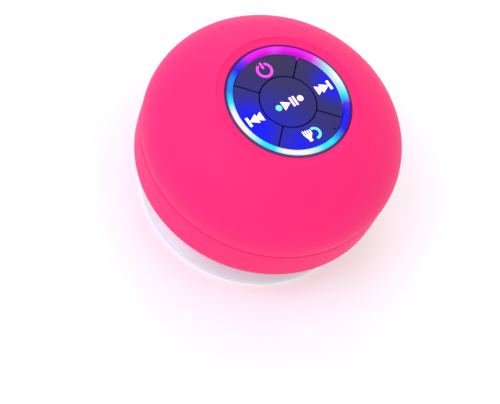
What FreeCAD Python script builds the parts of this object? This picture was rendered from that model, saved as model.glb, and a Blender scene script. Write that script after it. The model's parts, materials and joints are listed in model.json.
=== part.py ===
import FreeCAD, Part
import math
import os

# Round waterproof speaker with a key panel on top and a suction cup underneath.
# Millimetres, +Z up, origin at the middle of the suction cup's rim, which rests on z = 0.
# +X runs from the previous key to the next key, +Y from the call key to the power key.

V = FreeCAD.Vector
UP = V(0, 0, 1)

# Housing
BODY_R = 43.0            # widest radius of the dome
DOME_RISE = 24.95        # half height of the ellipse that the dome follows
EQUATOR_Z = 35.0         # height of the widest radius
BAND_R = 42.85           # radius of the lower band
BAND_ROUND = 5.0         # rounding under the lower band
SEAM_Z = 31.5            # joint between the two shells
FLOOR_Z = 15.5           # underside of the housing
WALL = 2.4
SEAM_BEVEL = 0.35
GASKET_R = 41.4          # middle of the seal in the seam

# Panel
PANEL_TOP = 56.0
CREASE_R = 23.3          # where the dome steps down to the flat land round the panel
LAND_Z = 55.55
PANEL_HOLE_R = 20.5
BEZEL_R = 20.35
BEZEL_WALL = 0.55
LIGHT_R = 19.8
LIGHT_INNER_R = 17.9
KEY_R = 17.6
CENTRE_KEY_R = 9.0
KEY_GAP = 0.5
KEY_TOP = 54.8           # the keys lie a little below the lit ring
KEY_UNDER = 53.4
KEY_TRAVEL = 0.35
STEM_R = 1.6
KEY_PLACE_R = 13.3       # radius at which the four outer keys press their switches

# Boards and battery
BOARD_R = 28.0
BOARD_TOP = 50.6
BOARD_T = 1.2
BOARD_UNDER = BOARD_TOP - BOARD_T
SWITCH_H = 1.3
LED_COUNT = 16
TRAY_TOP = 43.8
TRAY_T = 1.2
CELL_SIZE = (30.0, 34.0, 4.4)

# Loudspeaker, facing down
FLANGE_Z = 23.4
FLANGE_T = 1.2
FLANGE_R = 20.6
MAGNET_R = 13.5
YOKE_TOP = 42.0
POLE_R = 6.3
FORMER_R = 6.75
FORMER_T = 0.25

# Suction cup and its twist lock
CUP_R = 37.5
CUP_LAND = 2.0           # width of the flat that seals on the wall
HUB_R = 7.05
HUB_BORE_R = 7.12
LUG_R = 8.9
LUG_HALF_ANGLE = 20.0
TWIST = 50.0
CHAMBER_R = 9.3
CHAMBER_TOP = 20.6

# Charging port, on the +X side
PORT_Z = 22.8
CHARGE_SCREW_X = 28.2
CHARGE_SCREW_Y = 6.6
POCKET_X = 40.1
POCKET_HALF_Y = 8.0
POCKET_HALF_Z = 4.0
FLAP_GAP = 0.25
HINGE_X = 41.29
HINGE_Y = 7.0
KNUCKLE_R = 0.85

# Where the fasteners stand
SHELL_SCREW_R = 34.0
SHELL_SCREW_ANGLES = (45, 135, 225, 315)
BOARD_SCREW_R = 25.6
BOARD_SCREW_ANGLES = (30, 150, 270)
TRAY_SCREW_R = 31.4
TRAY_SCREW_ANGLES = (90, 210, 330)
SPEAKER_SCREW_R = 23.0
SPEAKER_SCREW_ANGLES = (60, 180, 300)

os.makedirs("parts", exist_ok=True)


def save(name, shape):
    shape.exportStep("parts/" + name + ".step")


def disc(r, z0, z1, x=0.0, y=0.0):
    return Part.makeCylinder(r, z1 - z0, V(x, y, z0), UP)


def ring(r_in, r_out, z0, z1):
    return disc(r_out, z0, z1).cut(disc(r_in, z0 - 1, z1 + 1))


def block(x0, x1, y0, y1, z0, z1):
    return Part.makeBox(x1 - x0, y1 - y0, z1 - z0, V(x0, y0, z0))


def at(r, degrees):
    a = math.radians(degrees)
    return r * math.cos(a), r * math.sin(a)


def turned(shape, degrees):
    copy = shape.copy()
    copy.rotate(V(0, 0, 0), UP, degrees)
    return copy


def line(a, b):
    return Part.makeLine(V(a[0], 0, a[1]), V(b[0], 0, b[1]))


def arc(a, b, c):
    return Part.Arc(V(a[0], 0, a[1]), V(b[0], 0, b[1]), V(c[0], 0, c[1])).toShape()


def spun(edges):
    """Turn a closed outline of edges, drawn as (radius, height), into a solid round Z."""
    solid = Part.Face(Part.Wire(edges)).revolve(V(0, 0, 0), UP, 360)
    return solid


def spun_polygon(points):
    closed = list(points) + [points[0]]
    return spun([line(a, b) for a, b in zip(closed, closed[1:])])


def sector(r_in, r_out, z0, z1, start, end):
    """A piece of a flat ring between two angles."""
    face_edges = [
        line((r_in, z0), (r_out, z0)),
        line((r_out, z0), (r_out, z1)),
        line((r_out, z1), (r_in, z1)),
        line((r_in, z1), (r_in, z0)),
    ]
    face = Part.Face(Part.Wire(face_edges))
    return turned(face.revolve(V(0, 0, 0), UP, end - start), start)


def tube(points, r):
    """A round wire along straight runs joined by tangent arcs."""
    edges = []
    last = V(*points[0])
    for before, here, after in zip(points, points[1:], points[2:]):
        a, b, c = V(*before), V(*here), V(*after)
        into, out = (b - a).normalize(), (c - b).normalize()
        half = into.getAngle(out) / 2
        cut = 0.45 * min((b - a).Length, (c - b).Length)
        radius = cut / math.tan(half)
        start, end = b - into * cut, b + out * cut
        inward = (out - into).normalize()
        middle = b + inward * (radius / math.cos(half) - radius)
        edges.append(Part.LineSegment(last, start).toShape())
        edges.append(Part.Arc(start, middle, end).toShape())
        last = end
    edges.append(Part.LineSegment(last, V(*points[-1])).toShape())
    path = Part.Wire(edges)
    first = (V(*points[1]) - V(*points[0])).normalize()
    profile = Part.Wire(Part.makeCircle(r, V(*points[0]), first))
    return path.makePipeShell([profile], True, True)


def pair_of_wires(points, apart, r=0.5):
    """Two wires side by side, offset along the given direction."""
    shift = V(*apart)
    wires = []
    for side in (-1, 1):
        moved = [tuple(V(*p) + shift * side) for p in points]
        wires.append(tube(moved, r))
    return Part.makeCompound(wires)


def screw(x, y, head_z, tip_z, shank_r, head_r, head_h):
    """A pan-head screw; the head is at head_z and the tip at tip_z, above or below it."""
    way = 1 if tip_z > head_z else -1
    low, high = sorted((head_z, head_z - way * head_h))
    head = disc(head_r, low, high, x, y)
    low, high = sorted((head_z, tip_z))
    shank = disc(shank_r, low, high, x, y)
    slot_z = head_z - way * head_h
    low, high = sorted((slot_z, slot_z + way * 0.5 * head_h))
    slot_a = block(x - 0.6 * head_r, x + 0.6 * head_r, y - 0.2, y + 0.2, low - 0.01, high)
    slot_b = block(x - 0.2, x + 0.2, y - 0.6 * head_r, y + 0.6 * head_r, low - 0.01, high)
    if way < 0:
        slot_a.translate(V(0, 0, 0.01))
        slot_b.translate(V(0, 0, 0.01))
    return head.fuse(shank).cut(slot_a).cut(slot_b).removeSplitter()


# ---------------------------------------------------------------- housing

def dome_edge(inset, top_r):
    """The dome's elliptical side, from the seam up to radius top_r, and its two ends."""
    a, b = BODY_R - inset, DOME_RISE - inset
    ellipse = Part.Ellipse(V(a, 0, EQUATOR_Z), V(0, 0, EQUATOR_Z + b), V(0, 0, EQUATOR_Z))
    low = math.asin((SEAM_Z - EQUATOR_Z) / b)
    high = math.acos(top_r / a)
    low_end = (a * math.cos(low), SEAM_Z)
    high_end = (top_r, EQUATOR_Z + b * math.sin(high))
    return Part.Arc(ellipse, low, high).toShape(), low_end, high_end


def dome_solid(inset, top_r, land_z):
    """The dome filled in, with a flat top at land_z inside top_r."""
    side, low_end, high_end = dome_edge(inset, top_r)
    edges = [line((0, SEAM_Z), low_end), side]
    edges.append(line(high_end, (top_r, land_z)))
    edges.append(line((top_r, land_z), (0, land_z)))
    edges.append(line((0, land_z), (0, SEAM_Z)))
    return spun(edges)


def band_solid(inset):
    """The lower band filled in, straight at the side and rounded underneath."""
    r = BAND_R - inset
    low = FLOOR_Z + inset
    round_r = BAND_ROUND - inset
    k = round_r * (1 - math.sqrt(0.5))
    return spun([
        line((0, low), (r - round_r, low)),
        arc((r - round_r, low), (r - k, low + k), (r, low + round_r)),
        arc((r, low + round_r), (r + 0.06, low + round_r + 4), (r - 0.05, SEAM_Z)),
        line((r - 0.05, SEAM_Z), (0, SEAM_Z)),
        line((0, SEAM_Z), (0, low)),
    ])


def seam_notch():
    """The small V that shows as a line where the two shells meet."""
    inner = BODY_R - 0.9
    return spun_polygon([
        (inner, SEAM_Z),
        (BODY_R + 1, SEAM_Z + SEAM_BEVEL * 3),
        (BODY_R + 1, SEAM_Z - SEAM_BEVEL * 2),
    ])


def top_shell():
    inner_top_r = 23.6
    cavity = dome_solid(WALL, inner_top_r, EQUATOR_Z + 18.05)
    outer = dome_solid(0, CREASE_R, LAND_Z)
    shell = outer.cut(cavity).cut(disc(PANEL_HOLE_R, 40, 60))
    bosses = []
    for angle in SHELL_SCREW_ANGLES:
        bosses.append(disc(3.0, SEAM_Z, 49, *at(SHELL_SCREW_R, angle)))
    for angle in BOARD_SCREW_ANGLES:
        bosses.append(disc(2.2, BOARD_TOP, 54, *at(BOARD_SCREW_R, angle)))
    for angle in TRAY_SCREW_ANGLES:
        bosses.append(disc(2.2, TRAY_TOP, 51, *at(TRAY_SCREW_R, angle)))
    core = dome_solid(0.8, CREASE_R, LAND_Z - 0.8)
    for boss in bosses:
        shell = shell.fuse(boss.common(core))
    for angle in SHELL_SCREW_ANGLES:
        shell = shell.cut(disc(1.0, SEAM_Z - 1, 41.0, *at(SHELL_SCREW_R, angle)))
    for angle in BOARD_SCREW_ANGLES:
        shell = shell.cut(disc(0.9, BOARD_TOP - 1, 53.0, *at(BOARD_SCREW_R, angle)))
    for angle in TRAY_SCREW_ANGLES:
        shell = shell.cut(disc(0.9, TRAY_TOP - 1, 48.5, *at(TRAY_SCREW_R, angle)))
    return shell.cut(seam_notch()).removeSplitter()


def sound_slots():
    slots = []
    for i in range(8):
        middle = 22.5 + 45 * i
        slots.append(sector(12.4, 17.9, FLOOR_Z - 1, FLOOR_Z + WALL + 1, middle - 16, middle + 16))
    return slots


def twist_lock_cuts():
    """Hole for the hub, two notches for its lugs to enter, and the chamber they turn in."""
    cuts = [disc(HUB_BORE_R, FLOOR_Z - 1, CHAMBER_TOP)]
    cuts.append(disc(CHAMBER_R, FLOOR_Z + WALL, CHAMBER_TOP))
    for side in (0, 180):
        start = side + TWIST - LUG_HALF_ANGLE - 2
        end = side + TWIST + LUG_HALF_ANGLE + 2
        cuts.append(sector(HUB_BORE_R - 1, CHAMBER_R, FLOOR_Z - 1, FLOOR_Z + WALL + 0.5, start, end))
    return cuts


def twist_stops():
    stops = []
    for side in (0, 180):
        for start in (side - LUG_HALF_ANGLE - 9, side + TWIST + LUG_HALF_ANGLE + 1):
            stops.append(sector(HUB_BORE_R + 0.4, CHAMBER_R + 0.2, FLOOR_Z + WALL, CHAMBER_TOP, start, start + 8))
    return stops


def lower_shell():
    outer = band_solid(0)
    shell = outer.cut(band_solid(WALL))
    shell = shell.fuse(disc(CHAMBER_R + 1.6, FLOOR_Z + 1, CHAMBER_TOP + 1.6))
    shell = shell.fuse(ring(18.7, 20.8, FLOOR_Z + 1, FLANGE_Z - 0.8))
    for angle in SPEAKER_SCREW_ANGLES:
        shell = shell.fuse(disc(2.3, FLOOR_Z + 1, FLANGE_Z, *at(SPEAKER_SCREW_R, angle)))
    for angle in SHELL_SCREW_ANGLES:
        shell = shell.fuse(disc(3.2, FLOOR_Z + 1, SEAM_Z, *at(SHELL_SCREW_R, angle)))
    for y in (-CHARGE_SCREW_Y, CHARGE_SCREW_Y):
        shell = shell.fuse(disc(1.4, FLOOR_Z + 1, PORT_Z - 2.6, CHARGE_SCREW_X, y))
    port_block = block(37.6, BAND_R, -10.6, 10.6, FLOOR_Z + 1, 27.9).common(outer)
    shell = shell.fuse(port_block)
    ledge = disc(FLANGE_R + 0.4, FLANGE_Z - 0.8, FLANGE_Z + 1)
    shell = shell.cut(ledge)
    for cut in sound_slots() + twist_lock_cuts():
        shell = shell.cut(cut)
    for stop in twist_stops():
        shell = shell.fuse(stop)
    for angle in SPEAKER_SCREW_ANGLES:
        shell = shell.cut(disc(0.8, 18.5, FLANGE_Z + 1, *at(SPEAKER_SCREW_R, angle)))
    for angle in SHELL_SCREW_ANGLES:
        x, y = at(SHELL_SCREW_R, angle)
        shell = shell.cut(disc(2.15, FLOOR_Z - 1, 19.0, x, y)).cut(disc(1.15, 18, SEAM_Z + 1, x, y))
    for y in (-CHARGE_SCREW_Y, CHARGE_SCREW_Y):
        shell = shell.cut(disc(0.7, 18.4, 21.5, CHARGE_SCREW_X, y))
    shell = shell.cut(port_pocket()).cut(rounded_slot(4.75, 1.85, 30, 41))
    shell = shell.cut(ring(GASKET_R - 0.4, GASKET_R + 0.4, SEAM_Z - 0.8, SEAM_Z + 1))
    return shell.cut(seam_notch()).removeSplitter()


def seam_gasket():
    return ring(GASKET_R - 0.38, GASKET_R + 0.38, SEAM_Z - 0.78, SEAM_Z)


def shell_screws():
    screws = []
    for angle in SHELL_SCREW_ANGLES:
        x, y = at(SHELL_SCREW_R, angle)
        screws.append(screw(x, y, 19.0, 40.0, 0.97, 1.9, 1.6))
    return Part.makeCompound(screws)


def screw_plugs():
    """Rubber discs that close the four deep screw holes underneath."""
    plugs = []
    for angle in SHELL_SCREW_ANGLES:
        x, y = at(SHELL_SCREW_R, angle)
        plugs.append(disc(2.1, FLOOR_Z + 0.1, 17.2, x, y))
    return Part.makeCompound(plugs)


def grille_mesh():
    return ring(CHAMBER_R + 1.7, 18.6, FLOOR_Z + WALL, FLOOR_Z + WALL + 0.3)


# ---------------------------------------------------------------- charging port

def rounded_slot(half_y, half_z, x0, x1):
    """A slot-shaped bar along X, at the height of the charging port."""
    flat = half_y - half_z
    bar = block(x0, x1, -flat, flat, PORT_Z - half_z, PORT_Z + half_z)
    for y in (-flat, flat):
        bar = bar.fuse(Part.makeCylinder(half_z, x1 - x0, V(x0, y, PORT_Z), V(1, 0, 0)))
    return bar.removeSplitter()


def port_pocket():
    half_y, half_z = POCKET_HALF_Y, POCKET_HALF_Z
    pocket = block(POCKET_X, 45, -half_y, half_y, PORT_Z - half_z, PORT_Z + half_z)
    anchor = block(POCKET_X, 45, HINGE_Y, 10.3, PORT_Z - 1.55, PORT_Z + 1.55)
    return pocket.fuse(anchor)


def port_flap():
    gap = FLAP_GAP
    half_z = POCKET_HALF_Z - gap
    near = POCKET_X + 0.2
    plate = block(near, 45, gap - POCKET_HALF_Y, HINGE_Y, PORT_Z - half_z, PORT_Z + half_z)
    plate = plate.common(band_solid(0.02))
    fold = block(HINGE_X + 0.6, 45, HINGE_Y - 2.2, 9, PORT_Z - 5, PORT_Z + 5)
    plate = plate.cut(fold)
    knuckle = disc(KNUCKLE_R, PORT_Z - half_z, PORT_Z + half_z, HINGE_X, HINGE_Y)
    plug = block(POCKET_X - 0.7, near + 0.1, -3.9, 3.9, PORT_Z - 1.0, PORT_Z + 1.0)
    return plate.fuse(knuckle).fuse(plug).removeSplitter()


def flap_anchor():
    """The rubber tail of the flap, held in the wall beside the fold."""
    tail = block(POCKET_X + 0.05, 45, HINGE_Y, 10.25, PORT_Z - 1.5, PORT_Z + 1.5)
    tail = tail.common(band_solid(0.02))
    tail = tail.cut(block(HINGE_X + 0.6, 45, 7.0, 8.6, PORT_Z - 3, PORT_Z + 3))
    return tail.cut(disc(KNUCKLE_R + 0.12, PORT_Z - 3, PORT_Z + 3, HINGE_X, HINGE_Y))


def charge_socket():
    shell = rounded_slot(4.5, 1.6, 32.4, 39.3)
    return shell.cut(rounded_slot(4.2, 1.3, 33.0, 40))


def socket_tongue():
    return block(33.0, 38.2, -3.3, 3.3, PORT_Z - 0.35, PORT_Z + 0.35)


def charge_board():
    board = block(26.6, 36.9, -8.0, 8.0, PORT_Z - 2.6, PORT_Z - 1.6)
    for y in (-CHARGE_SCREW_Y, CHARGE_SCREW_Y):
        board = board.cut(disc(0.9, 19, 23, CHARGE_SCREW_X, y))
    return board


def charge_chips():
    top = PORT_Z - 1.6
    controller = block(28.2, 31.0, -1.6, 1.4, top, top + 0.8)
    coil = block(29.9, 31.9, 2.2, 4.4, top, top + 1.2)
    resistor = block(28.2, 29.0, -3.8, -2.6, top, top + 0.5)
    return Part.makeCompound([controller, coil, resistor])


def charge_screws():
    screws = []
    for y in (-CHARGE_SCREW_Y, CHARGE_SCREW_Y):
        screws.append(screw(CHARGE_SCREW_X, y, PORT_Z - 1.6, 18.6, 0.68, 1.3, 0.9))
    return Part.makeCompound(screws)


# ---------------------------------------------------------------- key panel

def panel_bezel():
    return spun_polygon([
        (BEZEL_R - BEZEL_WALL, 52.0),
        (23.2, 52.0),
        (23.2, 53.0),
        (BEZEL_R, 53.0),
        (BEZEL_R, PANEL_TOP - 0.3),
        (BEZEL_R - 0.25, PANEL_TOP - 0.05),
        (BEZEL_R - BEZEL_WALL, PANEL_TOP - 0.05),
    ])


def light_ring():
    """The milky ring that the lamps on the board shine through, slightly crowned."""
    r0, r1 = LIGHT_INNER_R, LIGHT_R - 0.02
    middle = (r0 + r1) / 2
    side_z = PANEL_TOP - 0.2
    return spun([
        line((r0, 52.0), (r1, 52.0)),
        line((r1, 52.0), (r1, side_z)),
        arc((r1, side_z), (middle, PANEL_TOP), (r0, side_z)),
        line((r0, side_z), (r0, 52.0)),
    ])


def key_stem(x, y):
    return disc(STEM_R, BOARD_TOP + 2.0, KEY_UNDER + 0.1, x, y)


def microphone_place():
    return at(16.7, -62)


def outer_key(angle):
    """One of the four keys round the middle, its centre line at the given angle."""
    r_in = CENTRE_KEY_R + KEY_GAP
    key = sector(r_in, KEY_R, KEY_UNDER, KEY_TOP, -45, 45)
    side = KEY_GAP / 2
    for turn in (-45, 45):
        key = key.cut(turned(block(0, 30, -side, side, 50, 60), turn))
    edges = [e for e in key.Edges if all(abs(v.Z - KEY_TOP) < 1e-6 for v in e.Vertexes)]
    key = key.makeFillet(0.25, edges)
    return turned(key.fuse(key_stem(KEY_PLACE_R, 0)).removeSplitter(), angle)


def call_key():
    key = outer_key(270)
    return key.cut(disc(0.4, 50, 60, *microphone_place()))


def play_key():
    key = spun([
        line((0, KEY_UNDER), (CENTRE_KEY_R, KEY_UNDER)),
        line((CENTRE_KEY_R, KEY_UNDER), (CENTRE_KEY_R, KEY_TOP - 0.25)),
        arc((CENTRE_KEY_R, KEY_TOP - 0.25), (CENTRE_KEY_R - 0.07, KEY_TOP - 0.07), (CENTRE_KEY_R - 0.25, KEY_TOP)),
        line((CENTRE_KEY_R - 0.25, KEY_TOP), (0, KEY_TOP)),
        line((0, KEY_TOP), (0, KEY_UNDER)),
    ])
    return key.fuse(key_stem(0, 0)).removeSplitter()


KEYS = {
    "next": at(KEY_PLACE_R, 0),
    "power": at(KEY_PLACE_R, 90),
    "previous": at(KEY_PLACE_R, 180),
    "call": at(KEY_PLACE_R, 270),
    "play": (0.0, 0.0),
}


def key_membrane():
    """A black rubber sheet under the keys, which also closes the gaps between them."""
    sheet = disc(KEY_R, BOARD_TOP + 1.7, BOARD_TOP + 2.2)
    for x, y in KEYS.values():
        sheet = sheet.cut(disc(STEM_R + 0.08, 50, 54, x, y))
    return sheet.cut(disc(0.5, 50, 54, *microphone_place()))


def switch_bodies():
    bodies = []
    for x, y in KEYS.values():
        body = block(x - 2.2, x + 2.2, y - 2.2, y + 2.2, BOARD_TOP, BOARD_TOP + SWITCH_H)
        bodies.append(body.cut(disc(1.0, BOARD_TOP + 0.4, BOARD_TOP + 2, x, y)))
    return Part.makeCompound(bodies)


def switch_plunger(x, y):
    return disc(0.93, BOARD_TOP + 0.9, BOARD_TOP + 2.0, x, y)


def button_board():
    board = disc(BOARD_R, BOARD_UNDER, BOARD_TOP)
    for angle in BOARD_SCREW_ANGLES:
        board = board.cut(disc(1.1, 49, 51, *at(BOARD_SCREW_R, angle)))
    return board


def ring_leds():
    lamp = block(LIGHT_INNER_R, LIGHT_R, -1.0, 1.0, BOARD_TOP, BOARD_TOP + 0.8)
    return Part.makeCompound([turned(lamp, 360 / LED_COUNT * i) for i in range(LED_COUNT)])


def microphone():
    x, y = microphone_place()
    body = block(x - 1.1, x + 1.1, y - 0.9, y + 0.9, BOARD_TOP, BOARD_TOP + 0.9)
    return body.cut(disc(0.3, BOARD_TOP + 0.5, BOARD_TOP + 2, x, y))


def board_chips():
    """Radio, amplifier, crystal and a few small parts under the board."""
    low = BOARD_UNDER
    radio = block(-19.0, -14.0, 6.0, 11.0, low - 0.6, low)
    amplifier = block(16.0, 20.0, -12.0, -8.0, low - 0.6, low)
    crystal = block(-22.5, -19.5, 3.0, 4.6, low - 0.6, low)
    coil = block(17.0, 20.0, 8.0, 11.0, low - 0.7, low)
    small = [block(-23.0, -21.8, y, y + 0.7, low - 0.5, low) for y in (-8.0, -6.0, -4.0, -2.0)]
    return Part.makeCompound([radio, amplifier, crystal, coil] + small)


def board_screws():
    screws = []
    for angle in BOARD_SCREW_ANGLES:
        x, y = at(BOARD_SCREW_R, angle)
        screws.append(screw(x, y, BOARD_UNDER, 52.6, 0.87, 1.7, 1.1))
    return Part.makeCompound(screws)


# ---------------------------------------------------------------- battery

def battery_tray():
    low = TRAY_TOP - TRAY_T
    tray = disc(24.0, low, TRAY_TOP)
    for angle in TRAY_SCREW_ANGLES:
        arm = block(18, TRAY_SCREW_R, -2.6, 2.6, low, TRAY_TOP)
        tray = tray.fuse(turned(arm, angle)).fuse(disc(2.6, low, TRAY_TOP, *at(TRAY_SCREW_R, angle)))
    half_x, half_y = CELL_SIZE[0] / 2 + 0.1, CELL_SIZE[1] / 2 + 0.1
    for side in (-1, 1):
        x = side * (half_x + 0.5)
        tray = tray.fuse(block(x - 0.5, x + 0.5, -8, 8, TRAY_TOP, TRAY_TOP + 2.4))
    for x in (-9.0, 9.0):
        tray = tray.fuse(block(x - 3, x + 3, -half_y - 1, -half_y, TRAY_TOP, TRAY_TOP + 2.4))
    for angle in TRAY_SCREW_ANGLES:
        tray = tray.cut(disc(1.1, 40, 46, *at(TRAY_SCREW_R, angle)))
    return tray.removeSplitter()


def battery_cell():
    x, y, h = CELL_SIZE
    low = TRAY_TOP + 0.3
    cell = block(-x / 2, x / 2, -y / 2, y / 2, low, low + h)
    upright = [e for e in cell.Edges if abs(e.Vertexes[0].Z - e.Vertexes[1].Z) > 1]
    return cell.makeFillet(1.5, upright)


def battery_pad():
    return block(-12, 12, -14, 14, TRAY_TOP, TRAY_TOP + 0.3)


def battery_plug():
    low = BOARD_UNDER - 3.4
    return block(-3.0, 3.0, 21.2, 25.2, low, BOARD_UNDER)


def battery_leads():
    half_y = CELL_SIZE[1] / 2
    return pair_of_wires([(0, half_y, 47.0), (0, 21.2, 47.0)], (1.2, 0, 0))


def tray_screws():
    screws = []
    for angle in TRAY_SCREW_ANGLES:
        x, y = at(TRAY_SCREW_R, angle)
        screws.append(screw(x, y, TRAY_TOP - TRAY_T, 48.0, 0.87, 1.8, 1.1))
    return Part.makeCompound(screws)


# ---------------------------------------------------------------- loudspeaker

def speaker_gasket():
    return ring(18.75, FLANGE_R, FLANGE_Z - 0.8, FLANGE_Z)


def speaker_frame():
    top = FLANGE_Z + FLANGE_T
    frame = ring(16.9, FLANGE_R, FLANGE_Z, top)
    for angle in SPEAKER_SCREW_ANGLES:
        frame = frame.fuse(disc(2.3, FLANGE_Z, top, *at(SPEAKER_SCREW_R, angle)))
        frame = frame.fuse(turned(block(19, SPEAKER_SCREW_R, -2.3, 2.3, FLANGE_Z, top), angle))
    basket = spun_polygon([
        (18.9, top - 0.1), (19.8, top - 0.1), (15.2, 31.6), (13.5, 33.4),
        (13.5, 34.2), (8.0, 34.2), (8.0, 33.4), (12.4, 33.4), (14.3, 31.2),
    ])
    for i in range(4):
        window = block(10, 25, -5.5, 5.5, 26.2, 30.0)
        basket = basket.cut(turned(window, 30 + 90 * i))
    shelf = ring(12.4, 14.5, 30.6, 31.2)
    frame = frame.fuse(basket).fuse(shelf)
    for angle in SPEAKER_SCREW_ANGLES:
        frame = frame.cut(disc(1.1, 22, 26, *at(SPEAKER_SCREW_R, angle)))
    return frame.removeSplitter()


def front_plate():
    return ring(7.75, MAGNET_R, 34.2, 36.4)


def magnet():
    return ring(8.6, MAGNET_R, 36.4, YOKE_TOP - 1.8)


def yoke():
    plate = disc(MAGNET_R, YOKE_TOP - 1.8, YOKE_TOP)
    return plate.fuse(disc(POLE_R, 33.6, YOKE_TOP - 1.8)).removeSplitter()


def voice_coil():
    """A paper former with its winding in the magnet's gap."""
    r0, r1 = FORMER_R, FORMER_R + FORMER_T
    return spun_polygon([
        (r0, 27.6), (r1, 27.6), (r1, 33.0), (r1 + 0.42, 33.2),
        (r1 + 0.42, 37.2), (r1, 37.4), (r1, 38.6), (r0, 38.6),
    ])


def cone():
    r_neck = FORMER_R + FORMER_T
    return spun_polygon([
        (r_neck, 28.6), (14.5, 24.7), (14.5, 25.2), (r_neck + 0.3, 29.4), (r_neck, 29.4),
    ])


def bowl_points(r, low, rise):
    """Three points on a sphere round the axis: its lowest, one half way and its rim."""
    sphere_r = (r * r + rise * rise) / (2 * rise)
    half = math.asin(r / sphere_r) / 2
    middle = (sphere_r * math.sin(half), low + sphere_r * (1 - math.cos(half)))
    return (0, low), middle, (r, low + rise)


def dust_cap():
    thick = 0.3
    lowest, middle, rim = bowl_points(FORMER_R + FORMER_T, 25.6, 1.7)
    top_lowest, top_middle, top_rim = [(r, z + thick) for r, z in (lowest, middle, rim)]
    return spun([
        arc(lowest, middle, rim),
        line(rim, top_rim),
        arc(top_rim, top_middle, top_lowest),
        line(top_lowest, lowest),
    ])


def surround():
    """The half roll between the cone's rim and the frame, bulging towards the grille."""
    z = FLANGE_Z + FLANGE_T
    return spun([
        arc((14.5, z + 0.1), (15.7, z - 1.0), (16.9, z)),
        line((16.9, z), (18.3, z)),
        line((18.3, z), (18.3, z + 0.3)),
        line((18.3, z + 0.3), (16.7, z + 0.3)),
        arc((16.7, z + 0.3), (15.7, z - 0.7), (14.5, z + 0.4)),
        line((14.5, z + 0.4), (14.5, z + 0.1)),
    ])


def spider():
    """The corrugated disc that centres the coil."""
    r0, r1, low = FORMER_R + FORMER_T, 13.3, 31.2
    count = 5
    step = (12.3 - r0) / count
    lower = [(r1, low), (12.3, low)]
    for i in range(count - 1, -1, -1):
        lower.append((r0 + step * (i + 0.5), low + (0.5 if i % 2 else -0.4)))
    lower.append((r0, low))
    upper = [(r, z + 0.25) for r, z in reversed(lower)]
    return spun_polygon(lower + upper)


def speaker_terminals():
    strip = block(19.9, 20.7, -3.0, 3.0, 25.0, 29.0)
    foot = block(18.2, 20.7, -3.0, 3.0, 24.65, 25.2)
    tags = [block(20.7, 21.3, y - 0.6, y + 0.6, 26.0, 28.4) for y in (-1.6, 1.6)]
    strip = strip.fuse(tags[0]).fuse(tags[1])
    outside = disc(19.95, 24, 30)
    return turned(strip.cut(outside).fuse(foot.cut(disc(19.9, 24, 30))).removeSplitter(), 240)


def speaker_screws():
    screws = []
    for angle in SPEAKER_SCREW_ANGLES:
        x, y = at(SPEAKER_SCREW_R, angle)
        screws.append(screw(x, y, FLANGE_Z + FLANGE_T, 19.0, 0.78, 1.8, 1.1))
    return Part.makeCompound(screws)


def wires_up(angle, stops, apart):
    """Two wires through (radius, height) stops and up to the underside of the button board."""
    r_end = stops[-1][0]
    points = [(r, 0, z) for r, z in stops] + [(r_end, 0, BOARD_UNDER)]
    return turned(pair_of_wires(points, (0, apart, 0)), angle)


def charge_leads():
    stops = [(31.4, PORT_Z - 1.6), (31.4, 27.0), (31.9, 35.0), (31.4, 42.5), (26.0, 46.6)]
    return wires_up(-8, stops, 0.9)


def speaker_leads():
    stops = [(21.3, 27.2), (25.4, 27.2), (26.2, 35.0), (26.0, 42.0), (24.6, 46.0)]
    return wires_up(240, stops, 1.0)


# ---------------------------------------------------------------- suction cup

def cup_hub():
    """The hard plug that twists into the housing, with two lugs and a flange for the cup."""
    hub = disc(HUB_R, 13.3, CHAMBER_TOP - 0.6)
    hub = hub.fuse(disc(11.8, 13.3, FLOOR_Z - 0.2))
    lug_low = FLOOR_Z + WALL + 0.1
    for side in (0, 180):
        lug = sector(HUB_R - 1, LUG_R, lug_low, lug_low + 1.7, side - LUG_HALF_ANGLE, side + LUG_HALF_ANGLE)
        hub = hub.fuse(lug)
    hub = hub.fuse(disc(4.5, 10.5, 13.3))
    return hub.cut(disc(1.4, 10, 19.0)).removeSplitter()


def suction_cup():
    """A soft dished cup, thick round the hub and thin at its flat sealing rim."""
    rim_in = CUP_R - CUP_LAND
    cup = spun([
        line((4.52, 10.3), (5.8, 10.3)),
        line((5.8, 10.3), (10.0, 8.4)),
        arc((10.0, 8.4), (25.5, 4.6), (rim_in, 0)),
        line((rim_in, 0), (CUP_R, 0)),
        arc((CUP_R, 0), (CUP_R + 0.35, 0.7), (CUP_R, 1.4)),
        arc((CUP_R, 1.4), (27.5, 6.8), (14.2, 11.6)),
        line((14.2, 11.6), (11.8, 13.28)),
        line((11.8, 13.28), (4.52, 13.28)),
        line((4.52, 13.28), (4.52, 10.3)),
    ])
    tab = block(CUP_R - 1.2, CUP_R + 1.0, -4, 4, 0.2, 1.3).fuse(disc(4, 0.2, 1.3, CUP_R + 1.0, 0))
    return cup.fuse(turned(tab, 33)).removeSplitter()


def cup_washer():
    return ring(1.65, 5.2, 9.5, 10.28)


def cup_screw():
    return screw(0, 0, 9.5, 18.0, 1.37, 2.8, 1.6)


# ---------------------------------------------------------------- all pieces

save("top_shell", top_shell())
save("lower_shell", lower_shell())
save("seam_gasket", seam_gasket())
save("shell_screws", shell_screws())
save("screw_plugs", screw_plugs())
save("grille_mesh", grille_mesh())

save("port_flap", port_flap())
save("flap_anchor", flap_anchor())
save("charge_socket", charge_socket())
save("socket_tongue", socket_tongue())
save("charge_board", charge_board())
save("charge_chips", charge_chips())
save("charge_screws", charge_screws())
save("charge_leads", charge_leads())

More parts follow.
